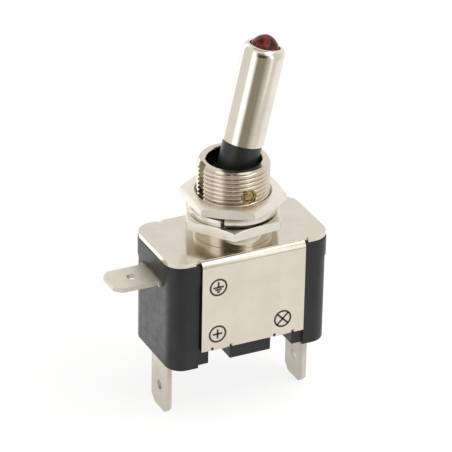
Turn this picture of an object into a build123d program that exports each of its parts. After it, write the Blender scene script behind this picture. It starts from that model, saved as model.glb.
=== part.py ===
"""Illuminated panel toggle switch, on-off, with three blade terminals.

The frame is +Z up the threaded bushing, +X along the housing, and the origin on the bushing's
axis in the panel seat, which is the top face of the back nut. The switch stands as it does when
off: the lever leans towards +X. Lengths are in millimetres and angles in degrees.
"""

import os
from math import cos, radians, sin, sqrt, tan

from build123d import *

os.makedirs("parts", exist_ok=True)

# Clearances
running_gap = 0.05
seat_gap = 0.02
loose_gap = 0.25

# Threaded bushing
thread_radius = 6.0
thread_root_depth = 0.25
thread_height = 9.15
thread_chamfer = 0.45
bushing_wall = 1.45
bore_flare = 0.4
collar_step = 0.6
collar_height = 2.35
collar_fillet = 0.5
spigot_step = 0.6
stake_height = 0.35
stake_overlap = 0.45
keyway_width = 1.9
keyway_depth = 0.8

# Nuts and lock washer
nut_across_flats = 15.3
nut_thickness = 1.75
nut_chamfer_angle = 16
back_nut_turn = 6.6
front_nut_turn = 28.3
washer_bore_gap = 0.15
washer_inset = 0.2
washer_thickness = 1.25
washer_rise = 0.45
washer_split_angle = 5
washer_split_at = 231.5

# Folded bracket
sheet_thickness = 0.8
bend_radius = 0.45
flap_width = 18.6
flap_drop = 16.6
flap_corner_radius = 0.15
relief_width = 0.8
relief_depth = 0.4
tab_width = 2.9
tab_reach = 3.0
tab_drop = 0.55
tab_relief_depth = 0.5

# Housing
housing_length = 28.9
housing_depth = 15.4
housing_corner_radius = 3.0
case_step = 0.15
cover_height = 3.4
wall = 1.1
cover_roof = 1.0
hold_down_thickness = 0.9
lip_height = 1.2
lip_thickness = 0.55
floor_thickness = 1.2
case_drop = 19.6
end_block_step = 0.3
end_foot_step = 0.35
boss_half_width = 3.7
foot_inner_edge = 7.6
edge_break = 0.3

# Blade terminals
blade_width = 6.3
blade_thickness = 0.8
blade_length = 12.0
blade_seat_depth = 0.9
blade_neck_width = 4.6
blade_tip_chamfer = 1.2
blade_hole_radius = 0.85
blade_hole_from_tip = 4.2
blade_end_gap = 0.3
earth_blade_reach = 7.9
earth_blade_drop = 0.55
earth_inner_length = 3.4
earth_shoulder = 0.5
earth_slot_depth = 2.2
earth_tongue_inset = 0.4
solder_hole_radius = 0.5
solder_pad_edge = 0.5

# Lever
lever_lean = 12.4
pivot_height = 4.75
ball_clearance = 0.1
pin_radius = 0.9
pin_recess = 0.45
pin_sink_step = 0.4
pin_dome = 0.35
ball_shoulder_rise = 1.6
stem_side_gap = 1.3
tail_side_gap = 2.35
stem_length = 7.3
sleeve_step = 0.25
sleeve_wall = 0.5
sleeve_length = 15.9
sleeve_tip_height = 0.9
sleeve_roll_inset = 0.12
sleeve_roll_rise = 0.25
lead_shaft_radius = 2.0
lead_shaft_bottom = 4.6
wire_radius = 0.4
wire_channel_gap = 0.1
wire_window_depth = 12.1
wire_window_height = 1.7

# Light in the tip
led_radius = 2.5
led_dome_drop = 0.8
led_height = 8.6
led_flange_height = 1.0
lead_spacing = 2.54
lead_size = 0.5
lead_end_rise = 0.4

# Plunger and its spring
plunger_wall = 0.85
plunger_nose_step = 0.35
plunger_cap = 0.5
plunger_guide_length = 2.6
plunger_clearance = 0.03
tail_clearance = 1.5
spring_wire_radius = 0.14
spring_turns = 4

# Rocker and contacts
rocker_drop = 11.8
rocker_thickness = 0.6
rocker_tilt = 8.0
rocker_wing_length = 6.3
rocker_width = 3.6
trunnion_radius = 0.6
trunnion_length = 6.0
button_inset = 1.1
button_radius = 1.2
button_height = 0.7
button_crown = 0.15
fulcrum_ear_width = 3.0
fulcrum_ear_rise = 0.7
stop_inset = 0.7
stop_width = 1.2

# Series resistor
resistor_radius = 1.2
resistor_length = 5.4
resistor_lead_radius = 0.3
resistor_inset = 3.5
resistor_side_gap = 1.15
resistor_lead_length = 1.3

# Insulated wires between the lever and the two joints
wire_bend = 0.8
wire_wide_bend = 1.2
wire_slack = 1.4
wire_loop_rise = 2.4
earth_wire_rise = 1.3
earth_wire_run = 3.6

# Radii that fit one another, from the bushing inwards and outwards
thread_engaged_radius = thread_radius - thread_root_depth
bore_radius = thread_radius - bushing_wall
bore_flare_radius = bore_radius + bore_flare
collar_radius = thread_radius + collar_step
spigot_radius = thread_radius - spigot_step
stake_radius = spigot_radius + stake_overlap
nut_corner_radius = nut_across_flats / sqrt(3)
nut_chamfer_drop = (nut_corner_radius - nut_across_flats / 2) * tan(radians(nut_chamfer_angle))
washer_inner_radius = thread_radius + washer_bore_gap
washer_outer_radius = nut_across_flats / 2 - washer_inset
ball_radius = bore_radius - ball_clearance
pin_sink_radius = pin_radius + pin_sink_step
stem_radius = bore_radius - stem_side_gap
stem_tail_radius = bore_radius - tail_side_gap
sleeve_radius = stem_radius + sleeve_step
sleeve_bore_radius = sleeve_radius - sleeve_wall
stem_neck_radius = sleeve_bore_radius - running_gap
led_flange_radius = sleeve_bore_radius - 2 * running_gap
plunger_bore_radius = stem_tail_radius - plunger_wall
plunger_radius = plunger_bore_radius - running_gap
plunger_tip_radius = plunger_bore_radius - plunger_nose_step
wire_channel_radius = wire_radius + wire_channel_gap
wire_offset = pin_radius + running_gap + wire_channel_radius

# Heights along the bushing's axis
nut_bottom = -nut_thickness
plate_top = nut_bottom - collar_height
plate_bottom = plate_top - sheet_thickness
stake_bottom = plate_bottom - stake_height
split_height = plate_bottom - cover_height
flap_bottom = plate_top - flap_drop
tab_bottom = flap_bottom - tab_drop
recess_ceiling = tab_bottom + sheet_thickness
inner_floor = recess_ceiling + floor_thickness
case_bottom = plate_top - case_drop
foot_bottom = case_bottom - end_foot_step
washer_bottom = seat_gap
front_nut_bottom = washer_bottom + washer_thickness + washer_rise + seat_gap
front_nut_top = front_nut_bottom + nut_thickness
rocker_height = plate_top - rocker_drop
earth_top = split_height - earth_blade_drop
blade_top = case_bottom + blade_seat_depth
blade_tip = blade_top - blade_length

# Housing outlines
case_length = housing_length - 2 * case_step
case_depth = housing_depth - 2 * case_step
case_corner_radius = housing_corner_radius - case_step
cavity_length = case_length - 2 * wall
cavity_depth = case_depth - 2 * wall
cavity_corner_radius = case_corner_radius - wall
case_end = case_length / 2
flap_recess_width = flap_width + 2 * loose_gap
cavity_end = cavity_length / 2
blade_outer_x = cavity_end - blade_end_gap
blade_inner_x = blade_outer_x - blade_thickness
resistor_x = blade_outer_x - resistor_inset
resistor_y = resistor_radius + resistor_side_gap - cavity_depth / 2

# Stations along the lever's axis, counted up from the pivot
sleeve_bottom = stem_length
sleeve_shoulder = sleeve_bottom + sleeve_length
sleeve_rim = sleeve_shoulder + sleeve_tip_height
dome_centre = sleeve_rim - led_dome_drop
led_bottom = dome_centre + led_radius - led_height
lead_end = lead_shaft_bottom + lead_end_rise
wire_window_bottom = -wire_window_depth
plunger_bore_top = wire_window_bottom - plunger_cap

# Rocker: its wings rise so that the plunger's nose stays just clear of them at every lean
rocker_wing_angle = rocker_tilt + lever_lean / 2
pressed_slope = radians(rocker_wing_angle - rocker_tilt)
halfway_slope = radians(rocker_wing_angle - rocker_tilt / 2)
valley_rise = rocker_thickness / 2 / cos(radians(rocker_wing_angle))
swing_reach = pivot_height - rocker_height - valley_rise - plunger_tip_radius
plunger_lift = (
    (plunger_tip_radius + plunger_clearance) / cos(halfway_slope)
    + swing_reach * sin(radians(lever_lean / 2)) * tan(halfway_slope)
    - swing_reach * (1 - cos(radians(lever_lean / 2)))
)
nose_centre = rocker_height + valley_rise + plunger_lift - pivot_height
stem_end = nose_centre + tail_clearance
button_reach = rocker_wing_length - button_inset
stop_reach = rocker_wing_length - stop_inset
stop_top = (
    rocker_height
    + (stop_reach - stop_width / 2) * tan(pressed_slope)
    - rocker_thickness / 2 / cos(pressed_slope)
    - seat_gap
)
contact_height = (
    rocker_height
    + (button_reach - button_radius) * sin(pressed_slope)
    - (rocker_thickness / 2 + button_height) * cos(pressed_slope)
    - seat_gap
)
load_strip_top = contact_height - button_height
load_strip_bottom = load_strip_top - blade_thickness

# The lever's own planes: its axis leans from the bushing's axis at the pivot
pivot_point = Vector(0, 0, pivot_height)
lever_across = Vector(cos(radians(lever_lean)), 0, -sin(radians(lever_lean)))
lever_along = Vector(sin(radians(lever_lean)), 0, cos(radians(lever_lean)))
lever_plane = Plane(origin=pivot_point, x_dir=lever_across, z_dir=lever_along)
lever_section = Plane(origin=pivot_point, x_dir=lever_across, z_dir=Vector(0, -1, 0))
lever_axis = Axis(pivot_point, lever_along)


def lever_point(across, along, side=0):
    """A point given in the lever's own frame, as a point in the switch's frame."""
    return pivot_point + lever_across * across + lever_along * along + Vector(0, side, 0)


# Threaded bushing: one turned piece, with its staked end, bore, keyway and pin holes
with BuildPart() as bushing:
    with BuildSketch(Plane.XZ):
        with BuildLine():
            Polyline(
                (bore_radius, thread_height),
                (thread_radius - thread_chamfer, thread_height),
                (thread_radius, thread_height - thread_chamfer),
                (thread_radius, front_nut_top),
                (thread_engaged_radius, front_nut_top),
                (thread_engaged_radius, nut_bottom),
                (collar_radius, nut_bottom),
                (collar_radius, plate_top),
                (spigot_radius, plate_top),
                (spigot_radius, plate_bottom),
                (stake_radius, plate_bottom),
                (stake_radius, stake_bottom),
                (bore_flare_radius, stake_bottom),
                (bore_radius, plate_top),
                close=True,
            )
        make_face()
    revolve(axis=Axis.Z)
    collar_edge = [
        edge
        for edge in bushing.edges().filter_by(GeomType.CIRCLE)
        if abs(edge.radius - collar_radius) < seat_gap and abs(edge.center().Z - nut_bottom) < seat_gap
    ]
    fillet(collar_edge, radius=collar_fillet)
    keyway_floor = thread_radius - keyway_depth
    with BuildSketch(Plane.XY.offset(nut_bottom)):
        with Locations((-keyway_floor - thread_radius / 2, 0)):
            Rectangle(thread_radius, keyway_width)
    extrude(amount=thread_height - nut_bottom, mode=Mode.SUBTRACT)
    with BuildSketch(Plane.XZ.offset(-thread_radius)):
        with Locations((0, pivot_height)):
            Circle(pin_radius)
    extrude(amount=2 * thread_radius, mode=Mode.SUBTRACT)
    for side in (-1, 1):
        sink_plane = Plane.XZ.offset(side * (thread_radius - pin_recess))
        with BuildSketch(sink_plane):
            with Locations((0, pivot_height)):
                Circle(pin_sink_radius)
        extrude(amount=side * thread_radius / 2, mode=Mode.SUBTRACT)
bushing.part.label = "bushing"


def hex_nut(bottom, hole_radius, turn, lower_chamfer_drop):
    """A hexagon nut on the bushing's axis, its corners chamfered by a cone above and maybe below."""
    with BuildPart() as nut:
        with BuildSketch(Plane.XY.offset(bottom)):
            RegularPolygon(nut_corner_radius, 6, rotation=turn)
            Circle(hole_radius, mode=Mode.SUBTRACT)
        extrude(amount=nut_thickness)
        with BuildSketch(Plane.XZ):
            with BuildLine():
                Polyline(
                    (0, bottom),
                    (nut_across_flats / 2, bottom),
                    (nut_corner_radius + seat_gap, bottom + lower_chamfer_drop),
                    (nut_corner_radius + seat_gap, bottom + nut_thickness - nut_chamfer_drop),
                    (nut_across_flats / 2, bottom + nut_thickness),
                    (0, bottom + nut_thickness),
                    close=True,
                )
            make_face()
        revolve(axis=Axis.Z, mode=Mode.INTERSECT)
    return nut.part


back_nut = hex_nut(nut_bottom, thread_engaged_radius, back_nut_turn, 0)
back_nut.label = "back_nut"
front_nut = hex_nut(front_nut_bottom, thread_radius + running_gap, front_nut_turn, nut_chamfer_drop)
front_nut.label = "front_nut"

# Split lock washer: a square section swept up one turn of a shallow helix
with BuildPart() as lock_washer:
    washer_mid_radius = (washer_inner_radius + washer_outer_radius) / 2
    washer_turn = (360 - washer_split_angle) / 360
    with BuildLine():
        Helix(
            pitch=washer_rise / washer_turn,
            height=washer_rise,
            radius=washer_mid_radius,
            center=(0, 0, washer_bottom + washer_thickness / 2),
            lefthand=True,
        )
    with BuildSketch(Plane.XZ):
        with Locations((washer_mid_radius, washer_bottom + washer_thickness / 2)):
            Rectangle(washer_outer_radius - washer_inner_radius, washer_thickness)
    sweep(is_frenet=True)
washer_part = lock_washer.part.rotate(Axis.Z, washer_split_at - washer_split_angle / 2)
washer_part.label = "lock_washer"


def flap_recess(depth):
    """Takes the strips beyond a depth away from a sketch, where the bracket's flaps lie."""
    for side in (-1, 1):
        with Locations((0, side * (depth + housing_depth) / 2)):
            Rectangle(flap_recess_width, housing_depth, mode=Mode.SUBTRACT)


# Folded bracket: top plate, two flaps over the housing's sides, and four tabs under it
with BuildPart() as frame_bracket:
    with BuildSketch(Plane.XY.offset(plate_bottom)):
        RectangleRounded(housing_length, housing_depth, housing_corner_radius)
        Circle(spigot_radius, mode=Mode.SUBTRACT)
        with GridLocations(flap_width + relief_width, housing_depth - relief_depth, 2, 2):
            Rectangle(relief_width, relief_depth, mode=Mode.SUBTRACT)
    extrude(amount=sheet_thickness)
    flap_inner = housing_depth / 2
    flap_outer = flap_inner + sheet_thickness
    outer_bend = bend_radius + sheet_thickness
    for side in (-1, 1):
        with BuildSketch(Plane.YZ.offset(-flap_width / 2)):
            with BuildLine():
                Polyline(
                    (side * (flap_inner - sheet_thickness), plate_bottom),
                    (side * (flap_inner - sheet_thickness), plate_top),
                    (side * (flap_outer - outer_bend), plate_top),
                )
                RadiusArc(
                    (side * (flap_outer - outer_bend), plate_top),
                    (side * flap_outer, plate_top - outer_bend),
                    side * outer_bend,
                )
                Polyline(
                    (side * flap_outer, plate_top - outer_bend),
                    (side * flap_outer, flap_bottom),
                    (side * flap_inner, flap_bottom),
                    (side * flap_inner, plate_bottom),
                    (side * (flap_inner - sheet_thickness), plate_bottom),
                )
            make_face()
        extrude(amount=flap_width)
    flap_corners = frame_bracket.edges().filter_by(Axis.Y).group_by(Axis.Z)[0]
    fillet(flap_corners, radius=flap_corner_radius)
    tab_centre = (boss_half_width + foot_inner_edge) / 2
    tab_relief = (foot_inner_edge - boss_half_width - tab_width) / 2
    for side in (-1, 1):
        for tab_x in (-tab_centre, tab_centre):
            with BuildSketch(Plane.XZ.offset(side * flap_inner)):
                for notch in (-1, 1):
                    with Locations((tab_x + notch * (tab_width + tab_relief) / 2, flap_bottom)):
                        Rectangle(tab_relief, 2 * tab_relief_depth)
            extrude(amount=side * sheet_thickness, mode=Mode.SUBTRACT)
            with BuildSketch(Plane.XY.offset(tab_bottom)):
                with Locations((tab_x, -side * (flap_outer - tab_reach / 2))):
                    Rectangle(tab_width, tab_reach)
            extrude(amount=sheet_thickness)
            with BuildSketch(Plane.XY.offset(tab_bottom)):
                with Locations((tab_x, -side * (flap_inner + sheet_thickness / 2))):
                    Rectangle(tab_width, sheet_thickness)
            extrude(amount=tab_drop)
    tab_folds = [
        edge
        for edge in frame_bracket.edges().filter_by(Axis.X).group_by(Axis.Z)[0]
        if abs(abs(edge.center().Y) - flap_outer) < seat_gap and edge.length < tab_width + seat_gap
    ]
    fillet(tab_folds, radius=tab_drop + tab_relief_depth - seat_gap)
frame_bracket.part.label = "frame_bracket"

# Case cover: the upper moulding, a shallow shell under the plate, recessed for the flaps
with BuildPart() as case_cover:
    with BuildSketch(Plane.XY.offset(split_height)):
        RectangleRounded(housing_length, housing_depth + 2 * end_block_step, housing_corner_radius)
        flap_recess(housing_depth)
    extrude(amount=cover_height)
    with BuildSketch(Plane.XY.offset(split_height)):
        RectangleRounded(cavity_length, cavity_depth, cavity_corner_radius)
    extrude(amount=cover_height - cover_roof, mode=Mode.SUBTRACT)
    with BuildSketch(Plane.XY.offset(split_height)):
        Circle(stake_radius + loose_gap)
    extrude(amount=cover_height, mode=Mode.SUBTRACT)
    with BuildSketch(Plane.XY.offset(earth_top)):
        with Locations((hold_down_thickness / 2 + lip_thickness + running_gap - cavity_end, 0)):
            Rectangle(hold_down_thickness, blade_neck_width)
    extrude(amount=plate_bottom - cover_roof - earth_top)
    # Tongue from the end wall that closes the slot above the earth blade
    tongue_outer = -case_end + earth_tongue_inset
    with BuildSketch(Plane.XY.offset(earth_top)):
        with Locations(((tongue_outer - cavity_end) / 2, 0)):
            Rectangle(-cavity_end - tongue_outer, blade_neck_width)
    extrude(amount=split_height - earth_top)
    cover_edge = case_cover.faces().sort_by(Axis.Z)[-1].outer_wire().edges()
    fillet(cover_edge, radius=edge_break)
case_cover.part.label = "case_cover"

# Case: the lower moulding, with two end feet round the blades, a middle foot and inner ribs
with BuildPart() as case:
    with BuildSketch(Plane.XY.offset(foot_bottom)):
        RectangleRounded(case_length, case_depth + 2 * end_block_step, case_corner_radius)
        flap_recess(case_depth)
    extrude(amount=split_height - foot_bottom)
    with BuildSketch(Plane.XY.offset(foot_bottom)):
        Rectangle(flap_recess_width, housing_depth)
    extrude(amount=end_foot_step, mode=Mode.SUBTRACT)
    with BuildSketch(Plane.XZ.offset(-housing_depth / 2)):
        for side in (-1, 1):
            with Locations((side * tab_centre, (case_bottom + recess_ceiling) / 2)):
                Rectangle(foot_inner_edge - boss_half_width, recess_ceiling - case_bottom)
    extrude(amount=housing_depth, mode=Mode.SUBTRACT)
    with BuildSketch(Plane.XY.offset(inner_floor)):
        RectangleRounded(cavity_length, cavity_depth, cavity_corner_radius)
    extrude(amount=split_height - inner_floor, mode=Mode.SUBTRACT)
    for foot in case.faces().filter_by(Axis.Z).sort_by(Axis.Z)[0:5]:
        rims = [
            edge
            for edge in foot.outer_wire().edges()
            if abs(abs(edge.center().X) - flap_recess_width / 2) > seat_gap
        ]
        fillet(rims, radius=edge_break)
    # Lip that stands up inside the cover
    with BuildSketch(Plane.XY.offset(split_height - lip_height)):
        RectangleRounded(cavity_length, cavity_depth, cavity_corner_radius)
        RectangleRounded(
            cavity_length - 2 * lip_thickness,
            cavity_depth - 2 * lip_thickness,
            cavity_corner_radius - lip_thickness,
            mode=Mode.SUBTRACT,
        )
    extrude(amount=lip_height)
    with BuildSketch(Plane.XY.offset(split_height)):
        RectangleRounded(
            cavity_length - 2 * running_gap,
            cavity_depth - 2 * running_gap,
            cavity_corner_radius - running_gap,
        )
        RectangleRounded(
            cavity_length - 2 * lip_thickness,
            cavity_depth - 2 * lip_thickness,
            cavity_corner_radius - lip_thickness,
            mode=Mode.SUBTRACT,
        )
    extrude(amount=lip_height)
    # Slot in the end wall that the earth blade leaves through
    with BuildSketch(Plane.XY.offset(earth_top - blade_thickness)):
        with Locations((-case_end, 0)):
            Rectangle(2 * earth_slot_depth, blade_width + 2 * earth_shoulder)
    extrude(amount=split_height - earth_top + blade_thickness, mode=Mode.SUBTRACT)
    # Slots in the end feet that hold the two lower blades and, above them, their necks
    for slot_width, slot_top in ((blade_width, blade_top), (blade_neck_width, inner_floor)):
        with BuildSketch(Plane.XY.offset(foot_bottom)):
            for side in (-1, 1):
                with Locations((side * (blade_outer_x - blade_thickness / 2), 0)):
                    Rectangle(blade_thickness, slot_width)
        extrude(amount=slot_top - foot_bottom, mode=Mode.SUBTRACT)
    # Bridge over the supply strip: the rocker's off side rests on it
    with BuildSketch(Plane.XY.offset(inner_floor)):
        with Locations((-stop_reach, 0)):
            Rectangle(stop_width, cavity_depth)
    extrude(amount=stop_top - inner_floor)
    with BuildSketch(Plane.XY.offset(inner_floor)):
        with Locations((-stop_reach, 0)):
            Rectangle(stop_width, blade_width + seat_gap)
    extrude(amount=blade_thickness + seat_gap, mode=Mode.SUBTRACT)
    # Ledge under the load strip
    with BuildSketch(Plane.XY.offset(inner_floor)):
        with Locations(((button_reach + blade_inner_x) / 2, 0)):
            Rectangle(blade_inner_x - button_reach, blade_width)
    extrude(amount=load_strip_bottom - inner_floor)
case.part.label = "case"


def blade_outline(tip_chamfer):
    """The outline of a blade below its neck, tip at the origin and pointing down -Y."""
    half = blade_width / 2
    neck = blade_neck_width / 2
    return [
        (-half + tip_chamfer, 0),
        (half - tip_chamfer, 0),
        (half, tip_chamfer),
        (half, blade_length - (half - neck)),
        (neck, blade_length),
        (-neck, blade_length),
        (-half, blade_length - (half - neck)),
        (-half, tip_chamfer),
    ]


def lower_blade(inner_x, neck_top):
    """A lower blade and its neck as a flat plate normal to X, its inner face at inner_x."""
    blade_plane = Plane(origin=(inner_x, 0, blade_tip), x_dir=(0, 1, 0), z_dir=(1, 0, 0))
    with BuildPart() as blade:
        with BuildSketch(blade_plane):
            with BuildLine():
                Polyline(*blade_outline(blade_tip_chamfer), close=True)
            make_face()
            with Locations((0, (blade_length + neck_top - blade_tip) / 2)):
                Rectangle(blade_neck_width, neck_top - blade_tip - blade_length)
            with Locations((0, blade_hole_from_tip)):
                Circle(blade_hole_radius, mode=Mode.SUBTRACT)
        extrude(amount=blade_thickness)
    return blade.part


# Supply terminal: blade, strip along the floor, and two ears with notches for the rocker
with BuildPart() as supply_terminal:
    strip_top = inner_floor + blade_thickness
    add(lower_blade(-blade_outer_x, strip_top))
    strip_end = fulcrum_ear_width / 2
    with BuildSketch(Plane.XY.offset(inner_floor)):
        with Locations(((strip_end - blade_outer_x) / 2, 0)):
            Rectangle(strip_end + blade_outer_x, blade_neck_width)
        Rectangle(fulcrum_ear_width, trunnion_length)
    extrude(amount=blade_thickness)
    ear_inner = trunnion_length / 2 - blade_thickness
    ear_top = rocker_height + fulcrum_ear_rise
    notch_width = 2 * (trunnion_radius + running_gap)
    for side in (-1, 1):
        with BuildSketch(Plane.XZ.offset(side * ear_inner)):
            with Locations((0, (inner_floor + ear_top) / 2)):
                Rectangle(fulcrum_ear_width, ear_top - inner_floor)
            with Locations((0, rocker_height)):
                Circle(trunnion_radius + running_gap, mode=Mode.SUBTRACT)
            with Locations((0, (rocker_height + ear_top) / 2)):
                Rectangle(notch_width, ear_top - rocker_height, mode=Mode.SUBTRACT)
        extrude(amount=side * blade_thickness)
supply_terminal.part.label = "supply_terminal"

# Load terminal: blade, riser and strip to the fixed contact
with BuildPart() as load_terminal:
    add(lower_blade(blade_inner_x, load_strip_top))
    load_strip_end = button_reach - button_radius - edge_break
    with BuildSketch(Plane.XY.offset(load_strip_bottom)):
        with Locations(((load_strip_end + blade_outer_x) / 2, 0)):
            Rectangle(blade_outer_x - load_strip_end, blade_neck_width)
        with Locations((resistor_x, resistor_y / 2)):
            Rectangle(2 * (solder_hole_radius + solder_pad_edge), 2 * solder_hole_radius - resistor_y)
        with Locations((resistor_x, resistor_y)):
            Circle(resistor_lead_radius, mode=Mode.SUBTRACT)
    extrude(amount=blade_thickness)
load_terminal.part.label = "load_terminal"

# Earth terminal: a blade out of the housing's end, clamped between case and cover
with BuildPart() as earth_terminal:
    earth_tip = -case_end - earth_blade_reach
    earth_end = -case_end + wall + earth_inner_length
    with BuildSketch(Plane.XY.offset(earth_top - blade_thickness)):
        with BuildLine():
            half = blade_width / 2
            Polyline(
                (earth_tip, half - blade_tip_chamfer),
                (earth_tip, blade_tip_chamfer - half),
                (earth_tip + blade_tip_chamfer, -half),
                (-case_end - earth_shoulder, -half),
                (-case_end - earth_shoulder, -half - earth_shoulder),
                (-case_end + wall, -half - earth_shoulder),
                (-case_end + wall, -blade_neck_width / 2),
                (earth_end, -blade_neck_width / 2),
                (earth_end, blade_neck_width / 2),
                (-case_end + wall, blade_neck_width / 2),
                (-case_end + wall, half + earth_shoulder),
                (-case_end - earth_shoulder, half + earth_shoulder),
                (-case_end - earth_shoulder, half),
                (earth_tip + blade_tip_chamfer, half),
                close=True,
            )
        make_face()
        with Locations((earth_tip + blade_hole_from_tip, 0)):
            Circle(blade_hole_radius, mode=Mode.SUBTRACT)
        with Locations((earth_end - 2 * solder_hole_radius, 0)):
            Circle(solder_hole_radius, mode=Mode.SUBTRACT)
    extrude(amount=blade_thickness)
earth_terminal.part.label = "earth_terminal"

# Pivot pin: across the bushing along Y, with domed ends
with BuildPart() as pivot_pin:
    pin_half = thread_radius - pin_recess
    with BuildSketch(Plane.XZ.offset(-pin_half)):
        with Locations((0, pivot_height)):
            Circle(pin_radius)
    extrude(amount=2 * pin_half)
    fillet(pivot_pin.edges().filter_by(GeomType.CIRCLE), radius=pin_dome)
pivot_pin.part.label = "pivot_pin"

# Lever stem: a moulded shaft with its pivot ball, lead shaft, wire channels and plunger bore
with BuildPart() as lever_stem:
    tail_join = sqrt(ball_radius**2 - stem_tail_radius**2)
    ball_shoulder_radius = sqrt(ball_radius**2 - ball_shoulder_rise**2)
    with BuildSketch(lever_section):
        with BuildLine():
            Line((0, stem_end), (stem_tail_radius, stem_end))
            Line((stem_tail_radius, stem_end), (stem_tail_radius, -tail_join))
            ThreePointArc(
                (stem_tail_radius, -tail_join),
                (ball_radius, 0),
                (ball_shoulder_radius, ball_shoulder_rise),
            )
            Polyline(
                (ball_shoulder_radius, ball_shoulder_rise),
                (stem_radius, ball_shoulder_rise),
                (stem_radius, sleeve_bottom),
                (stem_neck_radius, sleeve_bottom),
                (stem_neck_radius, led_bottom),
                (0, led_bottom),
                (0, stem_end),
            )
        make_face()
    revolve(axis=lever_axis)
    with BuildSketch(lever_plane.offset(lead_shaft_bottom)):
        Circle(lead_shaft_radius)
    extrude(amount=led_bottom - lead_shaft_bottom, mode=Mode.SUBTRACT)
    with BuildSketch(lever_plane.offset(wire_window_bottom)):
        with Locations((-wire_offset, 0), (wire_offset, 0)):
            Circle(wire_channel_radius)
    extrude(amount=lead_shaft_bottom - wire_window_bottom, mode=Mode.SUBTRACT)
    with BuildSketch(lever_plane.offset(wire_window_bottom)):
        with Locations((-wire_offset - wire_channel_radius, 0), (wire_offset + wire_channel_radius, 0)):
            Rectangle(3 * wire_channel_radius, 2 * wire_channel_radius)
    extrude(amount=wire_window_height, mode=Mode.SUBTRACT)
    with BuildSketch(lever_plane.offset(stem_end)):
        Circle(plunger_bore_radius)
    extrude(amount=plunger_bore_top - stem_end, mode=Mode.SUBTRACT)
    with BuildSketch(Plane.XZ.offset(-thread_radius)):
        with Locations((0, pivot_height)):
            Circle(pin_radius + running_gap)
    extrude(amount=2 * thread_radius, mode=Mode.SUBTRACT)
lever_stem.part.label = "lever_stem"

# Lever sleeve: a drawn metal tube, its tip rolled in over the light
with BuildPart() as lever_sleeve:
    rim_radius = led_radius + seat_gap
    with BuildSketch(lever_section):
        with BuildLine():
            Polyline(
                (sleeve_bore_radius, sleeve_shoulder - sleeve_wall),
                (sleeve_bore_radius, sleeve_bottom),
                (sleeve_radius, sleeve_bottom),
                (sleeve_radius, sleeve_shoulder - sleeve_wall),
            )
            ThreePointArc(
                (sleeve_radius, sleeve_shoulder - sleeve_wall),
                (sleeve_radius - sleeve_roll_inset, sleeve_shoulder + sleeve_roll_rise),
                (rim_radius + sleeve_wall, sleeve_rim),
            )
            Polyline(
                (rim_radius + sleeve_wall, sleeve_rim),
                (rim_radius, sleeve_rim),
                (rim_radius, sleeve_rim - sleeve_wall),
                (sleeve_bore_radius, sleeve_shoulder - sleeve_wall),
            )
        make_face()
    revolve(axis=lever_axis)
lever_sleeve.part.label = "lever_sleeve"

# Light: a domed lamp body with its flange behind the rolled rim
with BuildPart() as led_lamp:
    with BuildSketch(lever_section):
        with BuildLine():
            Polyline(
                (0, led_bottom),
                (led_flange_radius, led_bottom),
                (led_flange_radius, led_bottom + led_flange_height),
                (led_radius, led_bottom + led_flange_height),
                (led_radius, dome_centre),
            )
            ThreePointArc(
                (led_radius, dome_centre),
                (led_radius * cos(radians(45)), dome_centre + led_radius * sin(radians(45))),
                (0, dome_centre + led_radius),
            )
            Line((0, dome_centre + led_radius), (0, led_bottom))
        make_face()
    revolve(axis=lever_axis)
led_lamp.part.label = "led_lamp"

# Lamp leads: two square wires down the stem
with BuildPart() as led_leads:
    with BuildSketch(lever_plane.offset(lead_end)):
        with GridLocations(lead_spacing, 0, 2, 1):
            Rectangle(lead_size, lead_size)
    extrude(amount=led_bottom - lead_end)
led_leads.part.label = "led_leads"

# Plunger: a round-nosed pin that slides in the stem's bore
with BuildPart() as plunger:
    guide_top = stem_end + plunger_guide_length
    with BuildSketch(lever_section):
        with BuildLine():
            Line((0, nose_centre - plunger_tip_radius), (0, guide_top))
            Polyline(
                (0, guide_top),
                (plunger_radius, guide_top),
                (plunger_radius, stem_end + seat_gap),
                (plunger_tip_radius, stem_end - edge_break),
                (plunger_tip_radius, nose_centre),
            )
            ThreePointArc(
                (plunger_tip_radius, nose_centre),
                (
                    plunger_tip_radius * cos(radians(45)),
                    nose_centre - plunger_tip_radius * sin(radians(45)),
                ),
                (0, nose_centre - plunger_tip_radius),
            )
        make_face()
    revolve(axis=lever_axis)
plunger.part.label = "plunger"

# Plunger spring: a close helix between the bore's end and the plunger
spring_length = plunger_bore_top - guide_top - 2 * spring_wire_radius - 2 * seat_gap
spring_radius = plunger_bore_radius - spring_wire_radius - running_gap
with BuildPart() as plunger_spring:
    spring_start = lever_point(0, guide_top + spring_wire_radius + seat_gap)
    with BuildLine():
        spring_path = Helix(
            pitch=spring_length / spring_turns,
            height=spring_length,
            radius=spring_radius,
            center=spring_start,
            direction=lever_along,
        )
    with BuildSketch(Plane(origin=spring_path @ 0, z_dir=spring_path % 0)):
        Circle(spring_wire_radius)
    sweep(is_frenet=True)
plunger_spring.part.label = "plunger_spring"

# Rocker: a bent see-saw strip with a rolled trunnion across its middle

def wing_frame(side):
    """The plane across a wing at the trunnion: x out along the wing, y up through it."""
    angle = radians(side * rocker_wing_angle + rocker_tilt)
    return Plane(
        origin=(0, 0, rocker_height),
        x_dir=(side * cos(angle), 0, side * sin(angle)),
        z_dir=(0, -side, 0),
    )


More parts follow.
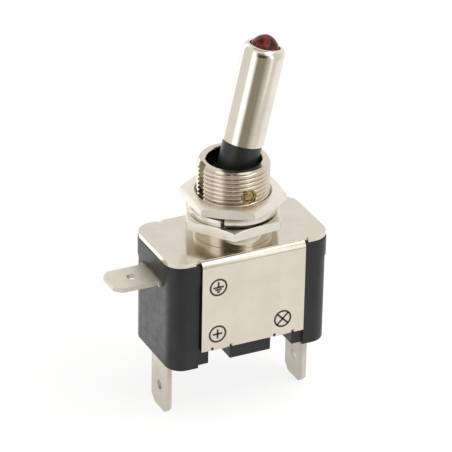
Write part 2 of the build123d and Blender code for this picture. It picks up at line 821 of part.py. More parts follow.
with BuildPart() as rocker_contact:
    half_sheet = rocker_thickness / 2
    valley = half_sheet * tan(radians(rocker_wing_angle))
    for side in (-1, 1):
        plane = wing_frame(side)
        with BuildSketch(plane.offset(-rocker_width / 2)):
            with BuildLine():
                Polyline(
                    (valley, half_sheet),
                    (rocker_wing_length, half_sheet),
                    (rocker_wing_length, -half_sheet),
                    (-valley, -half_sheet),
                    close=True,
                )
            make_face()
        extrude(amount=rocker_width)
    with BuildSketch(Plane.XZ.offset(-trunnion_length / 2)):
        with Locations((0, rocker_height)):
            Circle(trunnion_radius)
    extrude(amount=trunnion_length)
    with BuildSketch(wing_frame(1).offset(-rocker_width / 2)):
        with Locations((0, 2 * half_sheet + valley)):
            Rectangle(2 * trunnion_radius, 2 * half_sheet)
    extrude(amount=rocker_width, mode=Mode.SUBTRACT)
rocker_contact.part.label = "rocker_contact"


def contact_button(seat_plane, height):
    """A round contact rivet's head on seat_plane, with a low crown."""
    with BuildPart() as button:
        with BuildSketch(seat_plane):
            Circle(button_radius)
        extrude(amount=height)
        fillet(button.faces().sort_by(Axis(seat_plane.origin, seat_plane.z_dir))[-1].edges(), button_crown)
    return button.part


moving_wing = wing_frame(1)
moving_seat = Plane(
    origin=moving_wing.from_local_coords((button_reach, -rocker_thickness / 2, 0)),
    x_dir=moving_wing.x_dir,
    z_dir=-moving_wing.y_dir,
)
moving_contact = contact_button(moving_seat, button_height)
moving_contact.label = "moving_contact"
fixed_seat = Plane(origin=(button_reach, 0, load_strip_top))
fixed_contact = contact_button(fixed_seat, button_height)
fixed_contact.label = "fixed_contact"

# Series resistor: an axial body standing on the load strip
with BuildPart() as series_resistor:
    lead_bottom = load_strip_bottom
    body_bottom = load_strip_top + resistor_lead_length
    body_top = body_bottom + resistor_length
    lead_top = body_top + resistor_lead_length
    with BuildSketch(Plane.XY.offset(body_bottom)):
        with Locations((resistor_x, resistor_y)):
            Circle(resistor_radius)
    extrude(amount=resistor_length)
    fillet(series_resistor.edges().filter_by(GeomType.CIRCLE), radius=resistor_radius / 2)
    with BuildSketch(Plane.XY.offset(lead_bottom)):
        with Locations((resistor_x, resistor_y)):
            Circle(resistor_lead_radius)
    extrude(amount=lead_top - lead_bottom)
series_resistor.part.label = "series_resistor"


def wire(points, radii):
    """A round insulated wire along straight runs joined by arcs."""
    with BuildPart() as strand:
        with BuildLine() as path:
            FilletPolyline(*points, radius=radii)
        with BuildSketch(Plane(origin=path.line @ 0, z_dir=path.line % 0)):
            Circle(wire_radius)
        sweep()
    return strand.part


wire_floor = wire_window_bottom + wire_radius + seat_gap
wire_out = stem_tail_radius + wire_bend
earth_joint = earth_end - 2 * solder_hole_radius
earth_run = earth_top + earth_wire_rise
led_feed_wire = wire(
    [
        lever_point(wire_offset, lead_end),
        lever_point(wire_offset, wire_floor),
        lever_point(wire_out + wire_slack, wire_floor),
        Vector(resistor_x, resistor_y, lead_top + wire_loop_rise),
        Vector(resistor_x, resistor_y, lead_top),
    ],
    [wire_bend, wire_wide_bend, wire_bend],
)
led_feed_wire.label = "led_feed_wire"
led_earth_wire = wire(
    [
        lever_point(-wire_offset, lead_end),
        lever_point(-wire_offset, wire_floor),
        lever_point(-wire_out, wire_floor),
        Vector(earth_joint + earth_wire_run, 0, earth_run),
        Vector(earth_joint, 0, earth_run),
        Vector(earth_joint, 0, earth_top),
    ],
    [wire_bend, wire_bend, wire_bend, wire_bend],
)
led_earth_wire.label = "led_earth_wire"

pieces = [
    bushing.part,
    back_nut,
    washer_part,
    front_nut,
    frame_bracket.part,
    case_cover.part,
    case.part,
    supply_terminal.part,
    load_terminal.part,
    earth_terminal.part,
    pivot_pin.part,
    lever_stem.part,
    lever_sleeve.part,
    led_lamp.part,
    led_leads.part,
    plunger.part,
    plunger_spring.part,
    rocker_contact.part,
    moving_contact,
    fixed_contact,
    series_resistor.part,
    led_feed_wire,
    led_earth_wire,
]
for piece in pieces:
    export_step(piece, f"parts/{piece.label}.step")
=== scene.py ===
"""Looks for the panel toggle switch: camera, studio, materials and the pieces with finer detail.

Lengths are in metres, in the frame of the CAD model: +Z up the bushing, +X along the housing.
"""

import math

import bpy
from mathutils import Matrix, Vector


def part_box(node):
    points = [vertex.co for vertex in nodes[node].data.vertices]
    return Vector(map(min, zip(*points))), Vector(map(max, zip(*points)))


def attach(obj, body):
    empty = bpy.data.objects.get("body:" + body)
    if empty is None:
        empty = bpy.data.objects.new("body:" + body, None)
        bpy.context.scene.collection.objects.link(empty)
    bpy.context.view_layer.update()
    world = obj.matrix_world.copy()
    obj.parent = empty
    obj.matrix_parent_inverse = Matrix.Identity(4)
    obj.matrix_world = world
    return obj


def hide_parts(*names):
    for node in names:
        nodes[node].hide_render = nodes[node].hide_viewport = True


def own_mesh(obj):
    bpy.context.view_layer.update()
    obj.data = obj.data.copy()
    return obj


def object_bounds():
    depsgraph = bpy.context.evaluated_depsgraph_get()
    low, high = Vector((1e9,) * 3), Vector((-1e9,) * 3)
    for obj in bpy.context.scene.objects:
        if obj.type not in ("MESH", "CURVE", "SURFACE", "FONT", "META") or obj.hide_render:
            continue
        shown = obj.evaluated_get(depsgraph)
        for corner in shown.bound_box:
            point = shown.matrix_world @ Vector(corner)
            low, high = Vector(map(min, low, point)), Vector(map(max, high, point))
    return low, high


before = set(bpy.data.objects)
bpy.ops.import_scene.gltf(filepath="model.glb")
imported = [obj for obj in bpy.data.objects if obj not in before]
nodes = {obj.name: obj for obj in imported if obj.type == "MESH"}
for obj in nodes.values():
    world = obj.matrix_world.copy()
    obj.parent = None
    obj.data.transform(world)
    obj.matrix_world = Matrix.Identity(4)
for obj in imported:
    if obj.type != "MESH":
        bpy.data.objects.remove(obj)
cad_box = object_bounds()
MM = 0.001


def z_span(node):
    """The lowest and highest z of a CAD node."""
    low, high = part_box(node)
    return low[2], high[2]


# Sizes that the finer pieces share with the CAD model
thread_radius = 6.0 * MM
thread_pitch = 0.75 * MM
thread_depth = 0.36 * MM
thread_flank_slope = math.tan(math.radians(60))
thread_crest_ease = 0.08 * MM
thread_chamfer = 0.42 * MM
thread_chamfer_slope = math.tan(math.radians(33))
bore_radius = 4.55 * MM
bore_flare_radius = 4.95 * MM
collar_radius = 6.6 * MM
collar_fillet = 0.5 * MM
spigot_radius = 5.4 * MM
stake_radius = 5.85 * MM
keyway_width = 1.9 * MM
keyway_depth = 0.8 * MM
pin_radius = 0.9 * MM
pin_sink_radius = 1.37 * MM
pin_sink_depth = 0.45 * MM
nut_across_flats = 15.3 * MM
nut_chamfer_angle = math.radians(16)
back_nut_hole = 5.6 * MM
back_nut_turn = math.radians(6.6)
front_nut_hole = 6.05 * MM
front_nut_turn = math.radians(28.3)
washer_inner = 6.15 * MM
washer_outer = 7.45 * MM
washer_thickness = 1.25 * MM
washer_split_at = math.radians(231.5)
washer_split = math.radians(5)
sheet_thickness = 0.8 * MM
pivot = Vector((0, 0, 4.75 * MM))
lever_lean = math.radians(12.4)
sleeve_radius = 3.5 * MM
sleeve_wall = 0.5 * MM
sleeve_bottom = 7.3 * MM
sleeve_shoulder = 23.2 * MM
sleeve_rim = 24.1 * MM
led_radius = 2.5 * MM
dome_centre = 23.3 * MM
led_bottom = 17.2 * MM
spring_bottom = -14.91 * MM
spring_top = -12.62 * MM
flap_face = -8.5 * MM

# The lever's own frame: its z runs up the lever from the pivot
lever_matrix = Matrix.Translation(pivot) @ Matrix.Rotation(lever_lean, 4, "Y")


# Mesh helpers

def shade(mesh, smooth_angle):
    """Shades a mesh smooth, with edges above the angle left sharp."""
    mesh.polygons.foreach_set("use_smooth", [True] * len(mesh.polygons))
    mesh.set_sharp_from_angle(angle=math.radians(smooth_angle))


def mesh_piece(name, points, faces, body, smooth_angle=35, matrix=None):
    """A new mesh object that rides on a body, smooth except at its sharp edges."""
    mesh = bpy.data.meshes.new(name)
    mesh.from_pydata([tuple(point) for point in points], [], faces)
    if matrix is not None:
        mesh.transform(matrix)
    mesh.validate()
    mesh.update()
    piece = bpy.data.objects.new(name, mesh)
    bpy.context.collection.objects.link(piece)
    shade(mesh, smooth_angle)
    if body is not None:
        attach(piece, body)
    return piece


def level_ring(radii, height):
    """A level ring of points round the z axis, one for each radius."""
    points = []
    for index, radius in enumerate(radii):
        angle = 2 * math.pi * index / len(radii)
        points.append((radius * math.cos(angle), radius * math.sin(angle), height))
    return points


def turned(section, angle, lift=0):
    """The points of an (r, z) section at an angle round the z axis, raised by the lift."""
    return [(radius * math.cos(angle), radius * math.sin(angle), height + lift) for radius, height in section]


def arc(centre, reach, start, end, steps):
    """Points of an arc of an ellipse after its first one, between two angles in degrees."""
    points = []
    for step in range(1, steps + 1):
        angle = math.radians(start + (end - start) * step / steps)
        points.append((centre[0] + reach[0] * math.cos(angle), centre[1] + reach[1] * math.sin(angle)))
    return points


def soften(outline, radius, steps=3):
    """Rounds every corner of a closed (r, z) outline."""
    rounded = []
    count = len(outline)
    longest_share = 0.45
    for index, corner in enumerate(outline):
        corner = Vector(corner)
        before = Vector(outline[index - 1]) - corner
        after = Vector(outline[(index + 1) % count]) - corner
        turn = before.angle(after)
        longest = longest_share * min(before.length, after.length)
        reach = min(radius / math.tan(turn / 2), longest)
        start = corner + before.normalized() * reach
        end = corner + after.normalized() * reach
        for step in range(steps + 1):
            share = step / steps
            first = start.lerp(corner, share)
            second = corner.lerp(end, share)
            rounded.append(tuple(first.lerp(second, share)))
    return rounded


def lathe(name, outline, body, matrix=None, segments=128):
    """An (r, z) outline that starts and ends on the z axis or closes, turned about that axis."""
    points = []
    rings = []
    for radius, height in outline:
        ring = level_ring([radius] * segments, height) if radius else [(0, 0, height)]
        rings.append(range(len(points), len(points) + len(ring)))
        points += ring
    faces = []
    for index, ring in enumerate(rings):
        other = rings[(index + 1) % len(rings)]
        if len(ring) == 1 and len(other) == 1:
            continue
        for step in range(segments):
            after = (step + 1) % segments
            quad = [ring[step % len(ring)], ring[after % len(ring)]]
            quad += [other[after % len(other)], other[step % len(other)]]
            faces.append(list(dict.fromkeys(quad)))
    return mesh_piece(name, points, faces, body, matrix=matrix)


def ring_mesh(name, rings, body, smooth_angle):
    """A closed tube of rings, the last joined to the first."""
    points = [point for ring in rings for point in ring]
    faces = []
    size = len(rings[0])
    for start in range(0, len(points), size):
        after = (start + size) % len(points)
        for index in range(size):
            other = (index + 1) % size
            faces.append((start + index, start + other, after + other, after + index))
    return mesh_piece(name, points, faces, body, smooth_angle)


def sweep(name, section, path, body, matrix=None):
    """A closed (r, z) section carried anticlockwise round the z axis, along (angle, height) steps."""
    points = []
    for angle, lift in path:
        points += turned(section, angle, lift)
    size = len(section)
    faces = []
    for start in range(0, len(points) - size, size):
        after = start + size
        for index in range(size):
            other = (index + 1) % size
            faces.append((start + index, after + index, after + other, start + other))
    faces.append(tuple(range(size)))
    faces.append(tuple(reversed(range(len(points) - size, len(points)))))
    return mesh_piece(name, points, faces, body, matrix=matrix)


def cut(piece, cutter):
    """Cuts the cutter out of the piece and removes the cutter."""
    modifier = piece.modifiers.new("cut", "BOOLEAN")
    modifier.operation = "DIFFERENCE"
    modifier.solver = "EXACT"
    modifier.object = cutter
    depsgraph = bpy.context.evaluated_depsgraph_get()
    result = bpy.data.meshes.new_from_object(piece.evaluated_get(depsgraph))
    piece.modifiers.clear()
    piece.data = result
    bpy.data.objects.remove(cutter)


def block(name, low, high):
    """A box between two corners, used as a cutter."""
    points = [(x, y, z) for x in (low[0], high[0]) for y in (low[1], high[1]) for z in (low[2], high[2])]
    faces = [(0, 1, 3, 2), (4, 6, 7, 5), (0, 4, 5, 1), (2, 3, 7, 6), (0, 2, 6, 4), (1, 5, 7, 3)]
    return mesh_piece(name, points, faces, None)


# Scales of the noise in each material, from broad to fine
plate_waves = 180
plate_patches = 260
plate_polish = 420
grain_lines = 9000
plastic_flow = 300
plastic_polish = 700
plastic_texture = 5200
lamp_streaks = 1100
ink_patches = 4000


# Material helpers

def fresh_nodes(owner, output_kind):
    """Empties the node tree of a material or a world and gives it a new output."""
    owner.use_nodes = True
    tree = owner.node_tree
    tree.nodes.clear()
    return tree, tree.nodes.new(output_kind)


def new_material(name):
    """An empty node material with its output and one principled shader."""
    material = bpy.data.materials.new(name)
    tree, output = fresh_nodes(material, "ShaderNodeOutputMaterial")
    shader = tree.nodes.new("ShaderNodeBsdfPrincipled")
    tree.links.new(shader.outputs["BSDF"], output.inputs["Surface"])
    return material, tree, shader


def noise(tree, scale, detail=3.0, stretch=(1, 1, 1)):
    """A noise texture in the piece's own space, as a grey output."""
    place = tree.nodes.new("ShaderNodeTexCoord")
    mapping = tree.nodes.new("ShaderNodeMapping")
    mapping.inputs["Scale"].default_value = stretch
    texture = tree.nodes.new("ShaderNodeTexNoise")
    texture.inputs["Scale"].default_value = scale
    texture.inputs["Detail"].default_value = detail
    tree.links.new(place.outputs["Object"], mapping.inputs["Vector"])
    tree.links.new(mapping.outputs["Vector"], texture.inputs["Vector"])
    return texture.outputs["Fac"]


def spread(tree, source, low, high):
    """Maps the middle of a noise's range onto low to high."""
    remap = tree.nodes.new("ShaderNodeMapRange")
    remap.inputs["From Min"].default_value = 0.3
    remap.inputs["From Max"].default_value = 0.7
    remap.inputs["To Min"].default_value = low
    remap.inputs["To Max"].default_value = high
    tree.links.new(source, remap.inputs["Value"])
    return remap.outputs["Result"]


def between(tree, source, first, second):
    """A colour that goes from first to second as the noise rises."""
    ramp = tree.nodes.new("ShaderNodeValToRGB")
    ramp.color_ramp.elements[0].position = 0.35
    ramp.color_ramp.elements[1].position = 0.65
    ramp.color_ramp.elements[0].color = (*first, 1)
    ramp.color_ramp.elements[1].color = (*second, 1)
    tree.links.new(source, ramp.inputs["Fac"])
    return ramp.outputs["Color"]


def bump(tree, shader, height, distance):
    """Adds a bump of that height map, on top of any bump that is there."""
    node = tree.nodes.new("ShaderNodeBump")
    node.inputs["Strength"].default_value = 1
    node.inputs["Distance"].default_value = distance
    tree.links.new(height, node.inputs["Height"])
    if shader.inputs["Normal"].is_linked:
        tree.links.new(shader.inputs["Normal"].links[0].from_socket, node.inputs["Normal"])
    tree.links.new(node.outputs["Normal"], shader.inputs["Normal"])


def plated(name, colour, roughness, grain=(1, 1, 1), grain_depth=0.0, wave_depth=0.0, metallic=1.0):
    """Plated or bare metal with faint patches, uneven polish and maybe slight waves and a drawn grain."""
    material, tree, shader = new_material(name)
    shader.inputs["Metallic"].default_value = metallic
    darker = tuple(channel * 0.94 for channel in colour)
    patches = between(tree, noise(tree, plate_patches), darker, colour)
    tree.links.new(patches, shader.inputs["Base Color"])
    polish = spread(tree, noise(tree, plate_polish, detail=4), roughness * 0.8, roughness * 1.25)
    tree.links.new(polish, shader.inputs["Roughness"])
    if wave_depth:
        bump(tree, shader, noise(tree, plate_waves, detail=1), wave_depth)
    if grain_depth:
        bump(tree, shader, noise(tree, grain_lines, detail=2, stretch=grain), grain_depth)
    return material


def moulded(name, colour, roughness, texture_depth, gloss=1.5):
    """Moulded plastic with a fine matt texture and faint flow marks."""
    material, tree, shader = new_material(name)
    shader.inputs["IOR"].default_value = gloss
    lighter = tuple(min(1, channel * 1.5 + 0.004) for channel in colour)
    flow_marks = between(tree, noise(tree, plastic_flow, detail=4), colour, lighter)
    tree.links.new(flow_marks, shader.inputs["Base Color"])
    polish = spread(tree, noise(tree, plastic_polish), roughness * 0.85, roughness * 1.15)
    tree.links.new(polish, shader.inputs["Roughness"])
    bump(tree, shader, noise(tree, plastic_texture), texture_depth)
    return material


def paint(material, *names):
    """Puts one material on CAD nodes, by name."""
    for name in names:
        mesh_object = nodes[name]
        for slot in mesh_object.material_slots:
            slot.material = material
        if not mesh_object.material_slots:
            mesh_object.data.materials.append(material)


def dress(piece, material, slot_name, *replaced):
    """Gives a new piece its material and hides the CAD nodes that it stands for."""
    piece.data.materials.clear()
    piece.data.materials.append(material)
    if replaced:
        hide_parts(*replaced)


# Camera at the photograph's angle
photo_width = 452
focal_pixels = 3018.55
sensor_width = 36.0
camera_place = Vector((-0.19337, -0.39079, 0.22954))
right = Vector((0.9013489, -0.43272548, 0.01785543))
up = Vector((0.18981268, 0.43175692, 0.88179198))
back = right.cross(up)
camera_data = bpy.data.cameras.new("camera")
camera_data.sensor_width = sensor_width
camera_data.lens = focal_pixels / photo_width * sensor_width
camera_data.clip_start = 0.01
camera_data.clip_end = 50
camera = bpy.data.objects.new("camera", camera_data)
bpy.context.collection.objects.link(camera)
camera.matrix_world = Matrix.Translation(camera_place) @ Matrix((right, up, back)).transposed().to_4x4()
bpy.context.scene.camera = camera
bpy.context.scene.view_settings.view_transform = "Standard"


# Studio: a white world and floor, one wide light, and cards that only the metal mirrors

def seen_directly(tree):
    """One where a ray comes from the camera, a reflection or through glass, and zero elsewhere."""
    path = tree.nodes.new("ShaderNodeLightPath")
    total = path.outputs["Is Camera Ray"]
    for name in ("Is Glossy Ray", "Is Transmission Ray"):
        largest = tree.nodes.new("ShaderNodeMath")
        largest.operation = "MAXIMUM"
        tree.links.new(total, largest.inputs[0])
        tree.links.new(path.outputs[name], largest.inputs[1])
        total = largest.outputs["Value"]
    return total


def background(tree, colour, strength):
    """An even background of one colour."""
    node = tree.nodes.new("ShaderNodeBackground")
    node.inputs["Color"].default_value = (*colour, 1)
    node.inputs["Strength"].default_value = strength
    return node.outputs["Background"]


room_colour = (1, 0.99, 0.975)
room_strength = 0.55
world = bpy.data.worlds.new("studio")
bpy.context.scene.world = world
world_tree, world_output = fresh_nodes(world, "ShaderNodeOutputWorld")
room_light = background(world_tree, room_colour, room_strength)
white_surround = background(world_tree, colour=(1, 1, 1), strength=1)
world_mix = world_tree.nodes.new("ShaderNodeMixShader")
world_tree.links.new(seen_directly(world_tree), world_mix.inputs["Fac"])
world_tree.links.new(room_light, world_mix.inputs[1])
world_tree.links.new(white_surround, world_mix.inputs[2])
world_tree.links.new(world_mix.outputs["Shader"], world_output.inputs["Surface"])

# Floor: grey enough for soft shadows, with a glow added where it is seen, so that it shows white
floor_level = cad_box[0][2]
floor_half = 3.0
floor_grey = 0.3
floor_glow_strength = 0.8
floor_material = bpy.data.materials.new("floor_white")
floor_tree, floor_output = fresh_nodes(floor_material, "ShaderNodeOutputMaterial")
floor_diffuse = floor_tree.nodes.new("ShaderNodeBsdfDiffuse")
floor_diffuse.inputs["Color"].default_value = (floor_grey, floor_grey, floor_grey, 1)
floor_glow = floor_tree.nodes.new("ShaderNodeEmission")
floor_glow.inputs["Color"].default_value = (1, 1, 1, 1)
floor_share = floor_tree.nodes.new("ShaderNodeMath")
floor_share.operation = "MULTIPLY"
floor_share.inputs[1].default_value = floor_glow_strength
floor_sum = floor_tree.nodes.new("ShaderNodeAddShader")
floor_tree.links.new(seen_directly(floor_tree), floor_share.inputs[0])
floor_tree.links.new(floor_share.outputs["Value"], floor_glow.inputs["Strength"])
floor_tree.links.new(floor_diffuse.outputs["BSDF"], floor_sum.inputs[0])
floor_tree.links.new(floor_glow.outputs["Emission"], floor_sum.inputs[1])
floor_tree.links.new(floor_sum.outputs["Shader"], floor_output.inputs["Surface"])
floor = mesh_piece(
    "floor",
    [(x * floor_half, y * floor_half, floor_level) for x, y in ((-1, -1), (1, -1), (1, 1), (-1, 1))],
    [(0, 1, 2, 3)],
    None,
)
floor.data.materials.append(floor_material)

# One wide light, high on the camera's right
light_place = Vector((0.28, -0.3, 0.6))
light_width = 0.6
light_data = bpy.data.lights.new("light_above", "AREA")
light_data.shape = "RECTANGLE"
light_data.size = light_width
light_data.size_y = light_width
light_data.energy = 2.2
light_data.color = (1.0, 0.985, 0.96)
light = bpy.data.objects.new("light_above", light_data)
bpy.context.collection.objects.link(light)
light.location = light_place
light.rotation_euler = (-light_place).to_track_quat("-Z", "Y").to_euler()

# Cards, each a glowing surface that only a reflection shows
screen_step = 3
level_card_corners = 60


def glowing_card(name, points, faces, colours):
    """A card that is seen only in reflections, with a colour at each point."""
    card = mesh_piece(name, points, faces, None)
    glow_map = card.data.color_attributes.new("glow", "FLOAT_COLOR", "POINT")
    glow_map.data.foreach_set("color", [channel for colour in colours for channel in (*colour, 1)])
    material = bpy.data.materials.new(name)
    tree, output = fresh_nodes(material, "ShaderNodeOutputMaterial")
    glow = tree.nodes.new("ShaderNodeEmission")
    glow_colour = tree.nodes.new("ShaderNodeAttribute")
    glow_colour.attribute_name = "glow"
    tree.links.new(glow_colour.outputs["Color"], glow.inputs["Color"])
    tree.links.new(glow.outputs["Emission"], output.inputs["Surface"])
    card.data.materials.append(material)
    card.visible_camera = False
    card.visible_diffuse = False
    card.visible_shadow = False


def screen(name, distance, bottom, top, stops):
    """A curved upright card round the object.

    Its stops are pairs of an azimuth, counted from -Y towards +X in degrees, and the colour there.
    """
    columns = []
    for (start, first), (end, last) in zip(stops, stops[1:]):
        count = max(1, round((end - start) / screen_step))
        for step in range(count):
            share = step / count
            colour = [a + (b - a) * share for a, b in zip(first, last)]
            columns.append((start + (end - start) * share, colour))
    columns.append(stops[-1])
    points = []
    colours = []
    for azimuth, colour in columns:
        across = distance * math.sin(math.radians(azimuth))
        out = -distance * math.cos(math.radians(azimuth))
        points += [(across, out, bottom), (across, out, top)]
        colours += [colour, colour]
    faces = [(start, start + 2, start + 3, start + 1) for start in range(0, len(points) - 2, 2)]
    glowing_card(name, points, faces, colours)


def level_card(name, centre, radius, height, colour):
    """A level round card above or below the object."""
    rim = level_ring([radius] * level_card_corners, height)
    points = [(centre[0] + x, centre[1] + y, z) for x, y, z in rim]
    glowing_card(name, points, [tuple(range(len(points)))], [colour] * len(points))


# What the metal mirrors: a dim table and a dark room on the photographer's side, a bright strip to
# their left, a dimmer stretch to their right, a dimmer ceiling, a lit table on the far left, and a
# soft light that the bend of the plate mirrors
white_card = (1, 1, 1)
lit_card = (1.7, 1.7, 1.7)
bright_card = (1.42, 1.46, 1.52)
pale_card = (0.88, 0.89, 0.86)
dim_card = (0.8, 0.79, 0.71)
ceiling_card = (0.62, 0.55, 0.47)
table_card = (0.31, 0.29, 0.22)
room_card = (0.07, 0.065, 0.055)
card_distance = 0.080
card_bottom = floor_level + 0.0005
right_table_end = -0.012
table_end = 0.022
room_end = 0.06
card_top = 0.1
strip_start = -88
table_right = 18
strip_stops = [(strip_start, pale_card), (-84, bright_card), (-63, bright_card)]
left_side_stops = [(-175, lit_card), (-160, lit_card), (-145, pale_card), (strip_start, pale_card)]
dim_table_stops = strip_stops + [(-48, table_card), (-12, table_card), (table_right, dim_card)]
dark_room_stops = strip_stops + [(-54, table_card), (-44, room_card), (-12, room_card)]
dark_room_stops += [(0, table_card), (12, white_card)]
upper_room_stops = strip_stops + [(-54, table_card), (-14, table_card), (0, bright_card), (26, bright_card)]
right_side_stops = [(table_right, dim_card), (44, dim_card), (64, white_card)]
right_room_stops = [(33, dim_card), (60, dim_card), (100, white_card)]
front_light_stops = [(14, bright_card), (33, bright_card)]
screen("left_side", card_distance, card_bottom, card_top, left_side_stops)
screen("dim_table", card_distance, card_bottom, table_end, dim_table_stops)
screen("dark_room", card_distance, table_end, room_end, dark_room_stops)
screen("dim_upper_room", card_distance, room_end, card_top, upper_room_stops)
screen("right_side", card_distance, card_bottom, right_table_end, right_side_stops)
screen("right_room", card_distance, right_table_end, card_top, right_room_stops)
screen("front_light", distance=0.3, bottom=-0.03, top=0.28, stops=front_light_stops)
level_card("dim_ceiling", centre=(0, 0), radius=0.125, height=0.25, colour=ceiling_card)
level_card("lit_table", centre=(-0.043, 0.035), radius=0.03, height=card_bottom, colour=lit_card)

# Nickel, brass and spring steel, each with its roughness
warm_nickel = (0.70, 0.645, 0.552)
sheet_metal = plated("plated_sheet", warm_nickel, 0.16, grain=(1, 1, 30), grain_depth=0.002 * MM,
                     wave_depth=0.04 * MM)
bushing_metal = plated("plated_bushing", (0.67, 0.60, 0.50), 0.14, wave_depth=0.03 * MM)
nut_metal = plated("plated_nut", (0.76, 0.72, 0.64), 0.2, wave_depth=0.03 * MM)
matt_nut_metal = plated("matt_nut", (0.84, 0.79, 0.70), 0.38, grain_depth=0.004 * MM)
washer_metal = plated("washer_metal", (0.7, 0.66, 0.58), 0.22)
sleeve_metal = plated("sleeve_metal", (0.78, 0.73, 0.65), 0.12, grain=(1, 1, 0.05), grain_depth=0.001 * MM)
blade_metal = plated("blade_metal", (0.72, 0.67, 0.58), 0.5, grain=(20, 1, 1), grain_depth=0.003 * MM,
                     metallic=0.7)
brass = plated("brass", (0.36, 0.26, 0.125), 0.2)
spring_metal = plated("spring_metal", (0.6, 0.6, 0.58), 0.25)

# Plastics, each with its roughness and the depth of its texture
black_plastic = moulded("black_moulding", (0.006, 0.006, 0.007), 0.42, 0.006 * MM, gloss=1.47)
stem_plastic = moulded("stem_moulding", (0.010, 0.011, 0.011), 0.4, 0.004 * MM)
red_insulation = moulded("red_insulation", (0.35, 0.02, 0.02), 0.45, 0.003 * MM)
resistor_coat = moulded("resistor_coat", (0.6, 0.5, 0.32), 0.5, 0.004 * MM)

paint(sheet_metal, "frame_bracket")
paint(black_plastic, "case", "case_cover")
paint(blade_metal, "supply_terminal", "load_terminal", "earth_terminal")
paint(brass, "plunger", "rocker_contact")
paint(spring_metal, "moving_contact", "fixed_contact", "led_leads")
paint(stem_plastic, "lever_stem", "led_earth_wire")
paint(red_insulation, "led_feed_wire")
paint(resistor_coat, "series_resistor")

# Bushing with its cut thread, keyway and pin holes
stake_bottom, thread_top = z_span("bushing")
back_nut_bottom = z_span("back_nut")[0]
plate_top = z_span("frame_bracket")[1]
plate_bottom = plate_top - sheet_thickness
collar_edge_ease = 0.08 * MM
stake_taper = 0.1 * MM
bore_edge_ease = 0.15 * MM
bushing_segments = 180
rows_per_turn = 16
bushing_smooth_angle = 32


def thread_cut(phase):
    """The depth of the thread at a phase in turns: straight flanks, a sharp root and an eased crest."""
    off_root = abs((phase + 0.5) % 1 - 0.5) * thread_pitch
    depth = thread_depth - off_root * thread_flank_slope
    return (depth + math.hypot(depth, thread_crest_ease)) / 2


def thread_ring(height):
    """A ring of points round the thread, inside the chamfer at its top."""
    limit = thread_radius - max(0, thread_chamfer - (thread_top - height) * thread_chamfer_slope)
    turns = [index / bushing_segments for index in range(bushing_segments)]
    cuts = [thread_cut(height / thread_pitch - turn) for turn in turns]
    return level_ring([min(limit, thread_radius - depth) for depth in cuts], height)


thread_length = thread_top - back_nut_bottom
thread_rows = round(thread_length / thread_pitch * rows_per_turn)
thread_rings = []
for row in range(thread_rows + 1):
    thread_rings.append(thread_ring(thread_top - thread_length * row / thread_rows))
fillet_cut = 0.15 * collar_fillet
lower_outline = [
    (collar_radius - collar_fillet, back_nut_bottom),
    (collar_radius - fillet_cut, back_nut_bottom - fillet_cut),
    (collar_radius, back_nut_bottom - collar_fillet),
    (collar_radius, plate_top + collar_edge_ease),
    (collar_radius - collar_edge_ease, plate_top),
    (spigot_radius, plate_top),
    (spigot_radius, plate_bottom),
    (stake_radius, plate_bottom),
    (stake_radius - stake_taper, stake_bottom),
    (bore_flare_radius, stake_bottom),
    (bore_radius, plate_top),
    (bore_radius, thread_top - bore_edge_ease),
    (bore_radius + bore_edge_ease, thread_top),
]
lower_rings = [level_ring([radius] * bushing_segments, height) for radius, height in lower_outline]
bushing_rings = list(reversed(thread_rings + lower_rings))
bushing = ring_mesh("threaded_bushing", bushing_rings, "switch_body", bushing_smooth_angle)

# The cutters reach this far, well past the bushing
beyond = 2 * thread_radius
keyway_floor = thread_radius - keyway_depth
keyway_low = (-beyond, -keyway_width / 2, back_nut_bottom)
keyway_high = (-keyway_floor, keyway_width / 2, 2 * thread_top)
cut(bushing, block("keyway_cutter", keyway_low, keyway_high))
across = Matrix.Translation(pivot) @ Matrix.Rotation(math.radians(90), 4, "X")
sink = thread_radius - pin_sink_depth
# One stepped cutter makes the pin's hole and the sink at each of its ends
hole_outline = [
    (0, -beyond),
    (pin_sink_radius, -beyond),
    (pin_sink_radius, -sink),
    (pin_radius, -sink),
    (pin_radius, sink),
    (pin_sink_radius, sink),
    (pin_sink_radius, beyond),
    (0, beyond),
]
cut(bushing, lathe("pin_hole_cutter", hole_outline, None, across, segments=48))
shade(bushing.data, bushing_smooth_angle)
dress(bushing, bushing_metal, "plated_bushing", "bushing")

# Pivot pin, its staked ends spread into a raised rim round a low dome
pin_clearance = 0.01 * MM
pin_sink_gap = 0.12 * MM
pin_head_radius = pin_sink_radius - pin_sink_gap
pin_head_base = sink + pin_clearance
pin_rim_height = 0.26 * MM
pin_dish_height = 0.1 * MM
pin_dish_radius = 0.72 * pin_head_radius
pin_tip = pin_head_base + pin_rim_height
rim_outer_base = pin_head_base + pin_rim_height / 2
dish_level = pin_head_base + pin_dish_height
rim_middle = (pin_head_radius + pin_dish_radius) / 2
rim_reach = (pin_head_radius - pin_dish_radius) / 2
pin_head = [
    (pin_radius - pin_clearance, pin_head_base),
    (pin_head_radius, pin_head_base),
    (pin_head_radius, rim_outer_base),
]
pin_head += arc((rim_middle, rim_outer_base), (rim_reach, pin_tip - rim_outer_base), 0, 90, steps=4)
pin_head += arc((rim_middle, dish_level), (rim_reach, pin_tip - dish_level), 90, 180, steps=4)
pin_head += arc((0, dish_level), (pin_dish_radius, pin_tip - dish_level), 0, 90, steps=6)[:-1]
pin_head.append((0, pin_tip))
pin_outline = [(radius, -height) for radius, height in reversed(pin_head)] + pin_head
pin = lathe("pin_rod", pin_outline, "switch_body", across, segments=64)
dress(pin, brass, "brass_pin", "pivot_pin")

# Hexagon nuts with chamfered corners
nut_edge_ease = 0.06 * MM
nut_corner_ease = 0.04 * MM
nut_countersink = 0.35 * MM
nut_face_share = 0.992
nut_smooth_angle = 18


